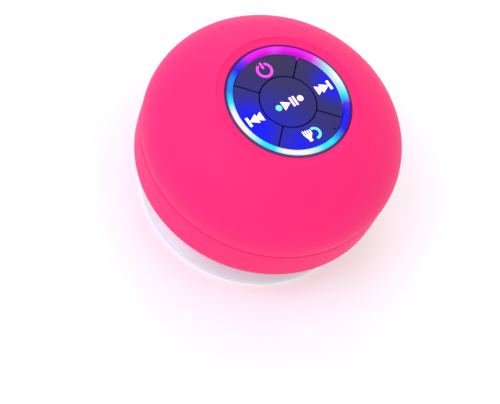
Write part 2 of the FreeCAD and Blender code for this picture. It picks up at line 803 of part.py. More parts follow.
save("panel_bezel", panel_bezel())
save("light_ring", light_ring())
save("next_key", outer_key(0))
save("power_key", outer_key(90))
save("previous_key", outer_key(180))
save("call_key", call_key())
save("play_key", play_key())
for key_name, place in KEYS.items():
    save(key_name + "_plunger", switch_plunger(*place))
save("key_membrane", key_membrane())
save("switch_bodies", switch_bodies())
save("button_board", button_board())
save("ring_leds", ring_leds())
save("microphone", microphone())
save("board_chips", board_chips())
save("board_screws", board_screws())

save("battery_tray", battery_tray())
save("battery_cell", battery_cell())
save("battery_pad", battery_pad())
save("battery_plug", battery_plug())
save("battery_leads", battery_leads())
save("tray_screws", tray_screws())

save("speaker_gasket", speaker_gasket())
save("speaker_frame", speaker_frame())
save("front_plate", front_plate())
save("magnet", magnet())
save("yoke", yoke())
save("voice_coil", voice_coil())
save("cone", cone())
save("dust_cap", dust_cap())
save("surround", surround())
save("spider", spider())
save("speaker_terminals", speaker_terminals())
save("speaker_screws", speaker_screws())
save("speaker_leads", speaker_leads())

save("cup_hub", cup_hub())
save("suction_cup", suction_cup())
save("cup_washer", cup_washer())
save("cup_screw", cup_screw())
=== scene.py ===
import bmesh
import bpy
import json
from math import asin, cos, pi, radians, sin, sqrt, tan, tau
from mathutils import Matrix, Vector


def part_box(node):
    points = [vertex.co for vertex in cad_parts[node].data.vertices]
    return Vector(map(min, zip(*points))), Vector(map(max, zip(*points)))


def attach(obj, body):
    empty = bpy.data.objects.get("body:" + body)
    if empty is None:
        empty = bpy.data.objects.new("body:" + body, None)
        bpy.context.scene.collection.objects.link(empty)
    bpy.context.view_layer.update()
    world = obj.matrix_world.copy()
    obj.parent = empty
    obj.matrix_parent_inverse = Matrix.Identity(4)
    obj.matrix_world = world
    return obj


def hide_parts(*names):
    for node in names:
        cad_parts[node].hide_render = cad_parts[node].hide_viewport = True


bpy.context.scene.view_settings.view_transform = "Standard"
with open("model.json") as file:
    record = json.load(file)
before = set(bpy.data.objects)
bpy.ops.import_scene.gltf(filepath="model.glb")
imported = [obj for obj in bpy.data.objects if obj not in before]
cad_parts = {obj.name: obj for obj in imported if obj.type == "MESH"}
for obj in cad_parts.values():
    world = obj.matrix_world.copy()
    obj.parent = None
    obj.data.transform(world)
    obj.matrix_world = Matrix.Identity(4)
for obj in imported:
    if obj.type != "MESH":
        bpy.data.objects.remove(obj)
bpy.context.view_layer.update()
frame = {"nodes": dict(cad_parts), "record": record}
MM = 0.001

# ---------------------------------------------------------------- sizes, from the frame where it holds them

BODY_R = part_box("top_shell")[1].x
SEAM_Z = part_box("top_shell")[0].z
FLOOR_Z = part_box("lower_shell")[0].z
PANEL_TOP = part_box("light_ring")[1].z
KEY_UNDER = 53.4 * MM
KEY_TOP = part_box("play_key")[1].z
KEY_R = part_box("next_key")[1].x
CENTRE_KEY_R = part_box("play_key")[1].x
LIGHT_OUT_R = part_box("light_ring")[1].x
LIGHT_IN_R = 17.9 * MM
BEZEL_R = 20.35 * MM
BEZEL_WALL = 0.55 * MM
BEZEL_LOW, BEZEL_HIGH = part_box("panel_bezel")
FLAP_LOW, FLAP_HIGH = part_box("port_flap")
PORT_Z = (FLAP_LOW.z + FLAP_HIGH.z) / 2
HUB_LOW, HUB_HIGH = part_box("cup_hub")

DOME_RISE = 24.95 * MM
EQUATOR_Z = 35.0 * MM
CREASE_R = 23.3 * MM
LAND_Z = 55.55 * MM
PANEL_HOLE_R = 20.5 * MM
BAND_R = 42.85 * MM
BAND_ROUND = 5.0 * MM
WALL = 2.4 * MM
SEAM_GAP = 0.2 * MM
HUB_HOLE_R = 7.12 * MM
KEY_GAP = 0.5 * MM
MIC_R, MIC_ANGLE = 16.7 * MM, radians(-62)
CUP_R = 37.5 * MM
CUP_LAND = 2.0 * MM
TAB_ANGLE = radians(33)
SCREW_WELL_R = 2.15 * MM
SCREW_CIRCLE_R = 34.0 * MM
STEM_R = 1.6 * MM
KEY_PLACE_R = 13.3 * MM
PANEL_R = 20.1 * MM
POCKET_X = 40.1 * MM
HINGE_X, HINGE_Y = 41.29 * MM, 7.0 * MM
PANEL_SEAT_Z = 53.06 * MM
PANEL_SEAT_R = 23.8 * MM
DOME_INSIDE_R = 24.2 * MM
SOUND_SLOT_IN_R, SOUND_SLOT_OUT_R = 12.4 * MM, 17.9 * MM
LOCK_NOTCH_R = 9.3 * MM
PORT_WALL_R = 37.8 * MM
PORT_WALL_LOW, PORT_WALL_HIGH = 17.2 * MM, 28.0 * MM
MIC_HOLE_R = 0.4 * MM
PLUG_R = 2.1 * MM
SCREEN_IN_R = 11.2 * MM
HUB_STEM_R, HUB_NECK_R, HUB_BORE_R = 4.5 * MM, 7.05 * MM, 1.4 * MM
FLANGE_R, FLANGE_LOW_Z = 11.5 * MM, 13.3 * MM
LUG_IN_R, LUG_OUT_R = 6.8 * MM, 8.9 * MM
TAB_HALF_WIDTH = 4.0 * MM
FLOOR_HALF_WIDTH = 3.0
TURN_STEPS = 288


# ---------------------------------------------------------------- node trees

class Tree:
    """A node tree under construction, with short ways to add and join its nodes."""

    def __init__(self, tree):
        self.tree = tree

    def add(self, kind, settings=None, **inputs):
        made = self.tree.nodes.new(kind)
        for key, value in (settings or {}).items():
            setattr(made, key, value)
        for key, value in inputs.items():
            socket = made.inputs[int(key[1:])] if key[0] == "i" and key[1:].isdigit() else made.inputs[key]
            self.feed(value, socket)
        return made

    def feed(self, value, socket):
        if isinstance(value, bpy.types.NodeSocket):
            self.tree.links.new(value, socket)
        else:
            socket.default_value = value

    def sum(self, operation, a, b=0.0):
        return self.add("ShaderNodeMath", {"operation": operation}, i0=a, i1=b).outputs[0]


def geometry_tree(name, inputs):
    """A new geometry tree with the given named inputs, its input node and the sockets' identifiers."""
    group = bpy.data.node_groups.new(name, "GeometryNodeTree")
    group.interface.new_socket(name="Geometry", in_out="INPUT", socket_type="NodeSocketGeometry")
    sockets = {}
    for label, kind in inputs.items():
        sockets[label] = group.interface.new_socket(name=label, in_out="INPUT", socket_type=kind).identifier
    group.interface.new_socket(name="Geometry", in_out="OUTPUT", socket_type="NodeSocketGeometry")
    tree = Tree(group)
    given = tree.add("NodeGroupInput").outputs
    return tree, given, sockets


def close_tree(tree, given, geometry):
    """Ends a geometry tree in Realize Instances and Set Material."""
    real = tree.add("GeometryNodeRealizeInstances", Geometry=geometry).outputs[0]
    painted = tree.add("GeometryNodeSetMaterial", Geometry=real, Material=given["Material"]).outputs[0]
    tree.add("NodeGroupOutput", Geometry=painted)


def turning_tree():
    """Turns an outline, given as points in order, round Z into a closed skin."""
    tree, given, sockets = geometry_tree("turned_skin", {
        "Points": "NodeSocketInt", "Steps": "NodeSocketInt", "Material": "NodeSocketMaterial",
    })
    rows = tree.sum("ADD", given["Steps"], 1)
    grid = tree.add("GeometryNodeMeshGrid", i2=given["Points"], i3=rows)
    index = tree.add("GeometryNodeInputIndex").outputs[0]
    half_on = tree.sum("ADD", index, 0.5)
    column = tree.sum("FLOOR", tree.sum("DIVIDE", half_on, rows))
    row = tree.sum("SUBTRACT", index, tree.sum("MULTIPLY", column, rows))
    place = tree.add("GeometryNodeInputPosition").outputs[0]
    outline = tree.add(
        "GeometryNodeSampleIndex", {"data_type": "FLOAT_VECTOR"},
        Geometry=given["Geometry"], Value=place, Index=column,
    ).outputs[0]
    angle = tree.sum("MULTIPLY", row, tree.sum("DIVIDE", tau, given["Steps"]))
    spun = tree.add("ShaderNodeVectorRotate", {"rotation_type": "Z_AXIS"}, Vector=outline, Angle=angle)
    skin = tree.add("GeometryNodeSetPosition", Geometry=grid.outputs[0], Position=spun.outputs[0])
    closed = tree.add("GeometryNodeMergeByDistance", Geometry=skin.outputs[0], Distance=0.5e-6)
    close_tree(tree, given, closed.outputs[0])
    return tree.tree, sockets


def circle_tree():
    """Repeats a small shape round Z; the shape is drawn at angle 0 and turned to each place."""
    tree, given, sockets = geometry_tree("round_row", {
        "Count": "NodeSocketInt", "Start": "NodeSocketFloat", "Material": "NodeSocketMaterial",
    })
    points = tree.add("GeometryNodePoints", Count=given["Count"])
    index = tree.add("GeometryNodeInputIndex").outputs[0]
    step = tree.sum("DIVIDE", tau, given["Count"])
    angle = tree.sum("ADD", tree.sum("MULTIPLY", index, step), given["Start"])
    turn = tree.add("ShaderNodeCombineXYZ", Z=angle).outputs[0]
    rotation = tree.add("FunctionNodeEulerToRotation", Euler=turn).outputs[0]
    placed = tree.add(
        "GeometryNodeInstanceOnPoints",
        Points=points.outputs[0], Instance=given["Geometry"], Rotation=rotation,
    )
    close_tree(tree, given, placed.outputs[0])
    return tree.tree, sockets


def weave_tree():
    """A flat ring of little wire crossings, cut out of a square field."""
    tree, given, sockets = geometry_tree("woven_ring", {
        "Inner": "NodeSocketFloat", "Outer": "NodeSocketFloat", "Pitch": "NodeSocketFloat",
        "Height": "NodeSocketFloat", "Material": "NodeSocketMaterial",
    })
    across = tree.sum("MULTIPLY", given["Outer"], 2)
    count = tree.sum("ADD", tree.sum("FLOOR", tree.sum("DIVIDE", across, given["Pitch"])), 1)
    grid = tree.add("GeometryNodeMeshGrid", i0=across, i1=across, i2=count, i3=count).outputs[0]
    place = tree.add("GeometryNodeInputPosition").outputs[0]
    far = tree.add("ShaderNodeVectorMath", {"operation": "LENGTH"}, i0=place).outputs["Value"]
    inside = tree.sum("LESS_THAN", far, given["Inner"])
    outside = tree.sum("GREATER_THAN", far, given["Outer"])
    unwanted = tree.sum("ADD", inside, outside)
    kept = tree.add("GeometryNodeDeleteGeometry", Geometry=grid, Selection=unwanted).outputs[0]
    placed = tree.add("GeometryNodeInstanceOnPoints", Points=kept, Instance=given["Geometry"]).outputs[0]
    lift = tree.add("ShaderNodeCombineXYZ", Z=given["Height"]).outputs[0]
    raised = tree.add("GeometryNodeTransform", Geometry=placed, Translation=lift).outputs[0]
    close_tree(tree, given, raised)
    return tree.tree, sockets


TURNING, ROUND_ROW, WOVEN = turning_tree(), circle_tree(), weave_tree()


def grow(mesh, made_tree, **values):
    """Runs a geometry tree on a mesh and returns the result as a plain mesh."""
    group, sockets = made_tree
    holder = bpy.data.objects.new("grow", mesh)
    bpy.context.scene.collection.objects.link(holder)
    modifier = holder.modifiers.new("grow", "NODES")
    modifier.node_group = group
    for label, value in values.items():
        modifier[sockets[label]] = value
    grown = bpy.data.meshes.new_from_object(holder.evaluated_get(bpy.context.evaluated_depsgraph_get()))
    bpy.data.objects.remove(holder)
    return grown


# ---------------------------------------------------------------- meshes

def tidy(mesh, sharp=35.0):
    """Merges doubles, points the faces outwards and keeps only the real corners sharp."""
    work = bmesh.new()
    work.from_mesh(mesh)
    bmesh.ops.remove_doubles(work, verts=work.verts, dist=0.5e-6)
    bmesh.ops.recalc_face_normals(work, faces=work.faces)
    work.to_mesh(mesh)
    work.free()
    for face in mesh.polygons:
        face.use_smooth = True
    mesh.set_sharp_from_angle(angle=radians(sharp))
    return mesh


def piece(name, mesh, material, body, slot, *replaced):
    """A finished piece: its material, the body it rides on and the nodes it stands for; the slot argument
    is not used.
    """
    mesh.name = name
    mesh.materials.clear()
    mesh.materials.append(material)
    made = bpy.data.objects.new(name, mesh)
    bpy.context.scene.collection.objects.link(made)
    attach(made, body)
    if replaced:
        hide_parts(*replaced)
    return made


def arc(start, middle, end, count=12):
    """Points along the circle through three points of an outline."""
    (ax, ay), (bx, by), (cx, cy) = start, middle, end
    d = 2 * (ax * (by - cy) + bx * (cy - ay) + cx * (ay - by))
    a2, b2, c2 = ax * ax + ay * ay, bx * bx + by * by, cx * cx + cy * cy
    centre = Vector((
        (a2 * (by - cy) + b2 * (cy - ay) + c2 * (ay - by)) / d,
        (a2 * (cx - bx) + b2 * (ax - cx) + c2 * (bx - ax)) / d,
    ))
    first, last = Vector(start) - centre, Vector(end) - centre
    turn = first.angle_signed(last)
    if (first.angle_signed(Vector(middle) - centre) > 0) != (turn > 0):
        turn -= tau if turn > 0 else -tau
    return [tuple(centre + Matrix.Rotation(-turn * i / count, 2) @ first) for i in range(count + 1)]


def rounded(points, radius, count=5, closed=True):
    """An outline with its corners rounded; radius is one value or one for each corner."""
    out = []
    n = len(points)
    for i, here in enumerate(points):
        r = radius[i] if isinstance(radius, (list, tuple)) else radius
        if r <= 0 or (not closed and i in (0, n - 1)):
            out.append(tuple(here))
            continue
        before, here, after = Vector(points[i - 1]), Vector(here), Vector(points[(i + 1) % n])
        into, away = (before - here), (after - here)
        half = into.angle(away) / 2
        reach = min(r / tan(half), 0.49 * into.length, 0.49 * away.length)
        r = reach * tan(half)
        start, end = here + into.normalized() * reach, here + away.normalized() * reach
        centre = here + (into.normalized() + away.normalized()).normalized() * (r / sin(half))
        mid = centre + (here - centre).normalized() * r
        out += arc(tuple(start), tuple(mid), tuple(end), count)
    return out


def turned(outline, material, steps=TURN_STEPS, sharp=35.0):
    """A closed outline of (radius, height) points turned round Z."""
    points = [(r, 0, z) for r, z in outline + [outline[0]]]
    line = bpy.data.meshes.new("outline")
    line.from_pydata(points, [], [])
    return tidy(grow(line, TURNING, Points=len(points), Steps=steps, Material=material), sharp)


def slab(outline, low, high, edge=0.0, count=4, under=0.0, centre=(0, 0), turn=0.0):
    """A plate with the given plan outline (anticlockwise), its upper edge rounded by edge."""
    n = len(outline)
    levels = [(under, low), (0.0, low + under)] if under else [(0.0, low)]
    for i in range(count + 1 if edge else 1):
        a = pi / 2 * i / count
        levels.append((edge * (1 - cos(a)), high - edge + edge * sin(a)))
    normals = []
    for i in range(n):
        along = Vector(outline[(i + 1) % n]) - Vector(outline[i - 1])
        normals.append(Vector((along.y, -along.x)).normalized())
    verts = []
    for inset, z in levels:
        for p, normal in zip(outline, normals):
            q = Vector(p) - normal * inset
            verts.append((q.x, q.y, z))
    faces = [tuple(reversed(range(n)))]
    for k in range(len(levels) - 1):
        for i in range(n):
            j = (i + 1) % n
            faces.append((k * n + i, k * n + j, k * n + n + j, k * n + n + i))
    faces.append(tuple((len(levels) - 1) * n + i for i in range(n)))
    mesh = bpy.data.meshes.new("slab")
    mesh.from_pydata(verts, [], faces)
    place = Matrix.Translation((centre[0], centre[1], 0)) @ Matrix.Rotation(turn, 4, "Z")
    mesh.transform(place)
    return mesh


def joined(meshes):
    """Several meshes as one."""
    work = bmesh.new()
    for mesh in meshes:
        work.from_mesh(mesh)
    whole = bpy.data.meshes.new("joined")
    work.to_mesh(whole)
    work.free()
    return whole


def carved(mesh, cutters, operation="DIFFERENCE"):
    """The mesh with the cutters taken away (or added), as a plain mesh."""
    body = bpy.data.objects.new("body", mesh)
    tool = bpy.data.objects.new("tool", joined(cutters))
    for o in (body, tool):
        bpy.context.scene.collection.objects.link(o)
    modifier = body.modifiers.new("cut", "BOOLEAN")
    modifier.operation = operation
    modifier.solver = "EXACT"
    modifier.use_self = True
    modifier.object = tool
    result = bpy.data.meshes.new_from_object(body.evaluated_get(bpy.context.evaluated_depsgraph_get()))
    for o in (body, tool):
        bpy.data.objects.remove(o)
    return tidy(result)


def disc_outline(r, count=48, x=0.0, y=0.0):
    return [(x + r * cos(tau * i / count), y + r * sin(tau * i / count)) for i in range(count)]


def bar_outline(width, height, round_r=0.0, x=0.0, y=0.0, count=4):
    w, h = width / 2, height / 2
    corners = [(x - w, y - h), (x + w, y - h), (x + w, y + h), (x - w, y + h)]
    return rounded(corners, round_r, count)


def sector_outline(r_in, r_out, start, end, count=40, round_r=0.0):
    """A piece of a flat ring between two angles, anticlockwise, with its corners rounded."""
    cut = round_r
    outer_cut, inner_cut = cut / r_out, cut / max(r_in, 1e-9)
    outer = [start + outer_cut + (end - start - 2 * outer_cut) * i / count for i in range(count + 1)]
    inner = [end - inner_cut - (end - start - 2 * inner_cut) * i / count for i in range(count + 1)]

    def corner(r, a, side, way):
        """A quarter round at a corner, from the side to the arc (way 1) or back (way -1)."""
        points = []
        for i in range(5):
            t = pi / 2 * i / 4
            depth, along = (1 - sin(t)) * cut, (1 - cos(t)) * cut
            rr = r - depth if r == r_out else r + depth
            points.append((rr, a + side * along / r))
        return points if way > 0 else points[::-1]

    polar = []
    if cut:
        polar += corner(r_out, start, 1, 1)[:-1]
    polar += [(r_out, a) for a in outer]
    if cut:
        polar += corner(r_out, end, -1, -1)[1:]
        polar += corner(r_in, end, -1, 1)[:-1]
    polar += [(r_in, a) for a in inner]
    if cut:
        polar += corner(r_in, start, 1, -1)[1:]
    return [(r * cos(a), r * sin(a)) for r, a in polar]


# ---------------------------------------------------------------- finishes

class Finish(Tree):
    """A Principled material and the nodes that feed it, with places read in the object's metres."""

    def __init__(self, name, colour, roughness, **sockets):
        self.material = bpy.data.materials.new(name)
        self.material.use_nodes = True
        super().__init__(self.material.node_tree)
        self.shader = self.tree.nodes["Principled BSDF"]
        self.colour = (*colour, 1.0)
        self.shader.inputs["Base Color"].default_value = self.colour
        self.shader.inputs["Roughness"].default_value = roughness
        for key, value in sockets.items():
            self.shader.inputs[key.replace("_", " ")].default_value = value
        self.place = self.add("ShaderNodeTexCoord").outputs["Object"]

    def noise(self, grain, detail=3.0, rough=0.55, seed=0.0):
        """Noise whose features are about grain metres across."""
        return self.add(
            "ShaderNodeTexNoise", {"noise_dimensions": "4D"},
            Vector=self.place, W=seed, Scale=1 / grain, Detail=detail, Roughness=rough,
        ).outputs["Fac"]

    def spread(self, fac, low, high):
        return self.add("ShaderNodeMapRange", Value=fac, i3=low, i4=high).outputs["Result"]

    def mix(self, fac, a, b, blend="MIX"):
        return self.add(
            "ShaderNodeMix", {"data_type": "RGBA", "blend_type": blend}, i0=fac, i6=a, i7=b,
        ).outputs[2]

    def mottle(self, grain, dark, light, seed=0.0):
        """Varies the base colour between dark and light times itself."""
        shades = [tuple(c * k for c in self.colour[:3]) + (1.0,) for k in (dark, light)]
        colour = self.mix(self.noise(grain, seed=seed), *shades)
        self.feed(colour, self.shader.inputs["Base Color"])
        return colour

    def uneven(self, grain, low, high, seed=1.0):
        """Varies the roughness between low and high."""
        self.feed(self.spread(self.noise(grain, seed=seed), low, high), self.shader.inputs["Roughness"])

    def bump(self, height, depth, strength=1.0):
        last = self.shader.inputs["Normal"].links
        made = self.add("ShaderNodeBump", Strength=strength, Distance=depth, Height=height)
        if last:
            self.feed(last[0].from_socket, made.inputs["Normal"])
        self.feed(made.outputs[0], self.shader.inputs["Normal"])

    def parts(self):
        """The place split into x, y and z."""
        return self.add("ShaderNodeSeparateXYZ", Vector=self.place).outputs

    def distance(self, x, y):
        """How far a place is from the upright line through (x, y)."""
        px, py = self.parts()[:2]
        dx, dy = self.sum("SUBTRACT", px, x), self.sum("SUBTRACT", py, y)
        return self.sum("SQRT", self.sum("ADD", self.sum("MULTIPLY", dx, dx), self.sum("MULTIPLY", dy, dy)))


def srgb(r, g, b):
    """A screen colour of 0 to 255 as linear light."""
    return tuple((c / 255 / 12.92) if c < 11 else ((c / 255 + 0.055) / 1.055) ** 2.4 for c in (r, g, b))


PINK = (0.95, 0.018, 0.166)


def soft_touch_pink():
    paint = Finish("soft_touch_pink", PINK, 0.5, Specular_IOR_Level=0.17)
    paint.mottle(9 * MM, 0.985, 1.015)
    paint.uneven(2.5 * MM, 0.46, 0.56)
    paint.bump(paint.noise(0.16 * MM, detail=2), 0.004 * MM, 0.6)
    paint.bump(paint.noise(14 * MM, detail=1, seed=3), 0.03 * MM, 0.3)
    return paint.material


def pink_rubber():
    rubber = Finish("pink_rubber", tuple(c * 0.93 for c in PINK), 0.62, Specular_IOR_Level=0.3)
    rubber.mottle(3 * MM, 0.96, 1.03)
    rubber.uneven(0.9 * MM, 0.55, 0.7)
    rubber.bump(rubber.noise(0.12 * MM), 0.006 * MM, 0.7)
    return rubber.material


def black_rubber():
    rubber = Finish("black_rubber", (0.012, 0.012, 0.016), 0.6, Sheen_Weight=0.1)
    rubber.mottle(1.5 * MM, 0.8, 1.3)
    rubber.uneven(0.6 * MM, 0.5, 0.75)
    rubber.bump(rubber.noise(0.1 * MM), 0.006 * MM, 0.7)
    return rubber.material


WHITE, PALE, CYAN = srgb(250, 253, 252), srgb(178, 250, 250), srgb(26, 238, 250)
AZURE, BLUE, VIOLET = srgb(6, 140, 254), srgb(22, 14, 242), srgb(92, 40, 250)
MAGENTA, ORCHID, LILAC = srgb(242, 4, 243), srgb(246, 60, 247), srgb(190, 175, 252)

# colours of the lit ring, anticlockwise from +X: (degrees, colour)
RING_COLOURS = [
    (0, WHITE), (12, PALE), (22, LILAC), (31, ORCHID), (42, MAGENTA), (60, MAGENTA),
    (70, ORCHID), (80, MAGENTA), (98, MAGENTA), (110, VIOLET), (120, BLUE), (132, AZURE),
    (145, AZURE), (158, CYAN), (171, WHITE), (190, WHITE), (200, PALE), (210, CYAN),
    (221, CYAN), (231, WHITE), (252, WHITE), (262, PALE), (271, CYAN), (281, CYAN),
    (291, AZURE), (300, BLUE), (321, BLUE), (331, VIOLET), (340, CYAN), (349, PALE),
]


def ring_light_colour(finish):
    """The ring's colour at each angle round Z."""
    x, y = finish.parts()[:2]
    angle = finish.sum("ARCTAN2", y, x)
    around = finish.sum("FRACT", finish.sum("ADD", finish.sum("DIVIDE", angle, tau), 1.0))
    ramp = finish.add("ShaderNodeValToRGB", Fac=around)
    stops = ramp.color_ramp.elements
    stops[0].position, stops[0].color = 0.0, (*RING_COLOURS[0][1], 1)
    stops[1].position, stops[1].color = 1.0, (*RING_COLOURS[0][1], 1)
    for at, colour in RING_COLOURS[1:]:
        stops.new(at / 360).color = (*colour, 1)
    return ramp.outputs["Color"]


def light_guide():
    milk = Finish("light_guide", (0.008, 0.008, 0.01), 0.35, Specular_IOR_Level=0.1)
    colour = ring_light_colour(milk)
    far = milk.distance(0.0, 0.0)
    middle, half = (LIGHT_IN_R + LIGHT_OUT_R) / 2, (LIGHT_OUT_R - LIGHT_IN_R) / 2
    off = milk.sum("DIVIDE", milk.sum("ABSOLUTE", milk.sum("SUBTRACT", far, middle)), half)
    fade = milk.sum("MULTIPLY", milk.sum("MULTIPLY", off, off), 0.18)
    bright = milk.sum("SUBTRACT", milk.spread(milk.noise(0.7 * MM), 0.94, 1.04), fade)
    grey = milk.add("ShaderNodeCombineColor", i0=bright, i1=bright, i2=bright).outputs[0]
    milk.feed(milk.mix(1.0, colour, grey, "MULTIPLY"), milk.shader.inputs["Emission Color"])
    milk.shader.inputs["Emission Strength"].default_value = 1.0
    milk.bump(milk.noise(0.3 * MM), 0.004 * MM, 0.5)
    return milk.material


def bezel_gloss():
    gloss = Finish("bezel_gloss", (0.008, 0.003, 0.02), 0.2, Specular_IOR_Level=0.08)
    gloss.uneven(1.2 * MM, 0.12, 0.22)
    gloss.mottle(2 * MM, 0.85, 1.15)
    # painted light: the bezel glows faintly in the ring's colours mixed with violet, standing in for the
    # ring's light falling on it
    painted_ring_spill = gloss.mix(0.8, ring_light_colour(gloss), (0.35, 0.02, 0.6, 1))
    gloss.feed(painted_ring_spill, gloss.shader.inputs["Emission Color"])
    gloss.shader.inputs["Emission Strength"].default_value = 0.24
    gloss.bump(gloss.noise(0.2 * MM), 0.001 * MM, 0.5)
    return gloss.material


def glow_spot(finish, x, y, reach):
    """1 at a point of the panel, falling softly to 0 at the given reach."""
    return finish.add(
        "ShaderNodeMapRange", {"interpolation_type": "SMOOTHERSTEP"},
        Value=finish.distance(x * MM, y * MM), i1=0.0, i2=reach * MM, i3=1.0, i4=0.0,
    ).outputs["Result"]


# soft patches of blue light under the keys: x, y and reach in millimetres, and share of full brightness
BLUE_GLOWS = [
    (-16.5, -2.5, 16.0, 1.0), (-5.0, -17.0, 14.0, 0.75), (18.0, -1.0, 11.5, 0.85),
    (-15.0, -8.0, 27.0, 0.42),
]


def key_gloss():
    """Smoked glossy keys with the blue light of the ring showing through near its bright places, and a
    painted lavender glow over their tops that turns greyer near the power key.
    """
    smoke = Finish("key_gloss", (0.004, 0.004, 0.012), 0.22, Specular_IOR_Level=0.12)
    glow = 0.0
    for x, y, reach, share in BLUE_GLOWS:
        glow = smoke.sum("MAXIMUM", glow, smoke.sum("MULTIPLY", glow_spot(smoke, x, y, reach), share))
    strong = {"operation": "MULTIPLY", "use_clamp": True}
    glow = smoke.add("ShaderNodeMath", strong, i0=glow, i1=1.15).outputs[0]
    # painted glow: the key tops emit a lavender grey that turns greyer round a spot near the power key; the
    # key sides emit only a faint dark blue
    painted_grey_spot = glow_spot(smoke, 5.0, 16.0, 20.0)
    base = smoke.mix(painted_grey_spot, (*srgb(50, 46, 112), 1), (*srgb(56, 50, 84), 1))
    colour = smoke.mix(glow, base, (*srgb(6, 14, 250), 1))
    height = smoke.parts()[2]
    on_top = smoke.add("ShaderNodeMapRange", Value=height, i1=KEY_TOP - 0.3 * MM, i2=KEY_TOP - 0.1 * MM)
    painted_key_glow = smoke.mix(on_top.outputs["Result"], (0.008, 0.006, 0.055, 1), colour)
    smoke.feed(painted_key_glow, smoke.shader.inputs["Emission Color"])
    smoke.shader.inputs["Emission Strength"].default_value = 1.0
    smoke.mottle(1.6 * MM, 0.8, 1.2)
    smoke.uneven(2.2 * MM, 0.17, 0.28)
    smoke.bump(smoke.noise(0.18 * MM), 0.002 * MM, 0.5)
    return smoke.material


def lit_print(name, colour, strength=1.0):
    """A symbol printed clear in the key, lit from behind."""
    ink = Finish(name, tuple(c * 0.6 for c in colour), 0.35)
    shades = [tuple(min(1.0, c * k) for c in colour) + (1.0,) for k in (0.9, 1.06)]
    bright = ink.mix(ink.noise(0.5 * MM), *shades)
    ink.feed(bright, ink.shader.inputs["Emission Color"])
    ink.shader.inputs["Emission Strength"].default_value = strength
    ink.uneven(0.6 * MM, 0.3, 0.42)
    return ink.material


def milky_silicone():
    milk = Finish("milky_silicone", (0.74, 0.81, 0.83), 0.34, Coat_Weight=0.2)
    milk.shader.inputs["Coat Roughness"].default_value = 0.2
    colour = milk.mottle(6 * MM, 0.97, 1.02)
    # painted shade: the colour darkens to a dark grey where the surface turns away from the view, drawing a
    # dark outline round the cup's rim
    grazing = milk.add("ShaderNodeLayerWeight", Blend=0.5).outputs["Facing"]
    edge = milk.add("ShaderNodeMapRange", Value=grazing, i1=0.72, i2=0.97).outputs[0]
    milk.feed(milk.mix(edge, colour, (0.16, 0.19, 0.22, 1)), milk.shader.inputs["Base Color"])
    milk.uneven(3 * MM, 0.28, 0.42)
    milk.bump(milk.noise(0.5 * MM), 0.004 * MM, 0.5)
    return milk.material


def white_plastic():
    plastic = Finish("white_plastic", (0.8, 0.81, 0.83), 0.35)
    plastic.mottle(4 * MM, 0.96, 1.02)
    plastic.uneven(1.5 * MM, 0.3, 0.45)
    plastic.bump(plastic.noise(0.12 * MM), 0.004 * MM, 0.6)
    return plastic.material


def steel(name="zinc_steel", colour=(0.56, 0.56, 0.58), roughness=0.3):
    metal = Finish(name, colour, roughness, Metallic=1.0)
    metal.mottle(1.2 * MM, 0.85, 1.05)
    metal.uneven(0.4 * MM, roughness - 0.08, roughness + 0.14)
    metal.bump(metal.noise(0.08 * MM), 0.002 * MM, 0.6)
    return metal.material


def plain_plastic(name, colour, roughness=0.5):
    plastic = Finish(name, colour, roughness)
    plastic.mottle(1.5 * MM, 0.85, 1.12)
    plastic.uneven(0.7 * MM, roughness - 0.07, roughness + 0.1)
    plastic.bump(plastic.noise(0.1 * MM), 0.004 * MM, 0.6)
    return plastic.material


def circuit_board():
    board = Finish("circuit_board", (0.008, 0.1, 0.045), 0.3, Coat_Weight=0.3)
    cells = board.add("ShaderNodeTexBrick", Vector=board.place, Scale=1 / (3 * MM)).outputs["Fac"]
    colour = board.mix(cells, (0.008, 0.1, 0.045, 1), (0.015, 0.17, 0.08, 1))
    board.feed(colour, board.shader.inputs["Base Color"])
    board.uneven(0.8 * MM, 0.25, 0.4)
    board.bump(cells, 0.02 * MM, 0.5)
    return board.material


def woven_cloth(name, colour, pitch):
    """A fine plain weave, from two crossed waves."""
    cloth = Finish(name, colour, 0.8, Sheen_Weight=0.2)
    waves = []
    for axis in ("X", "Y"):
        waves.append(cloth.add(
            "ShaderNodeTexWave", {"bands_direction": axis}, Vector=cloth.place, Scale=1 / pitch,
        ).outputs["Fac"])
    weave = cloth.sum("MAXIMUM", *waves)
    shades = [tuple(c * k for c in colour) + (1.0,) for k in (0.6, 1.2)]
    cloth.feed(cloth.mix(weave, *shades), cloth.shader.inputs["Base Color"])
    cloth.bump(weave, 0.03 * MM)
    return cloth.material


def pressed_paper():
    paper = Finish("pressed_paper", (0.02, 0.02, 0.022), 0.85, Sheen_Weight=0.1)
    paper.mottle(0.8 * MM, 0.6, 1.6)
    paper.bump(paper.noise(0.25 * MM, detail=5), 0.02 * MM)
    return paper.material


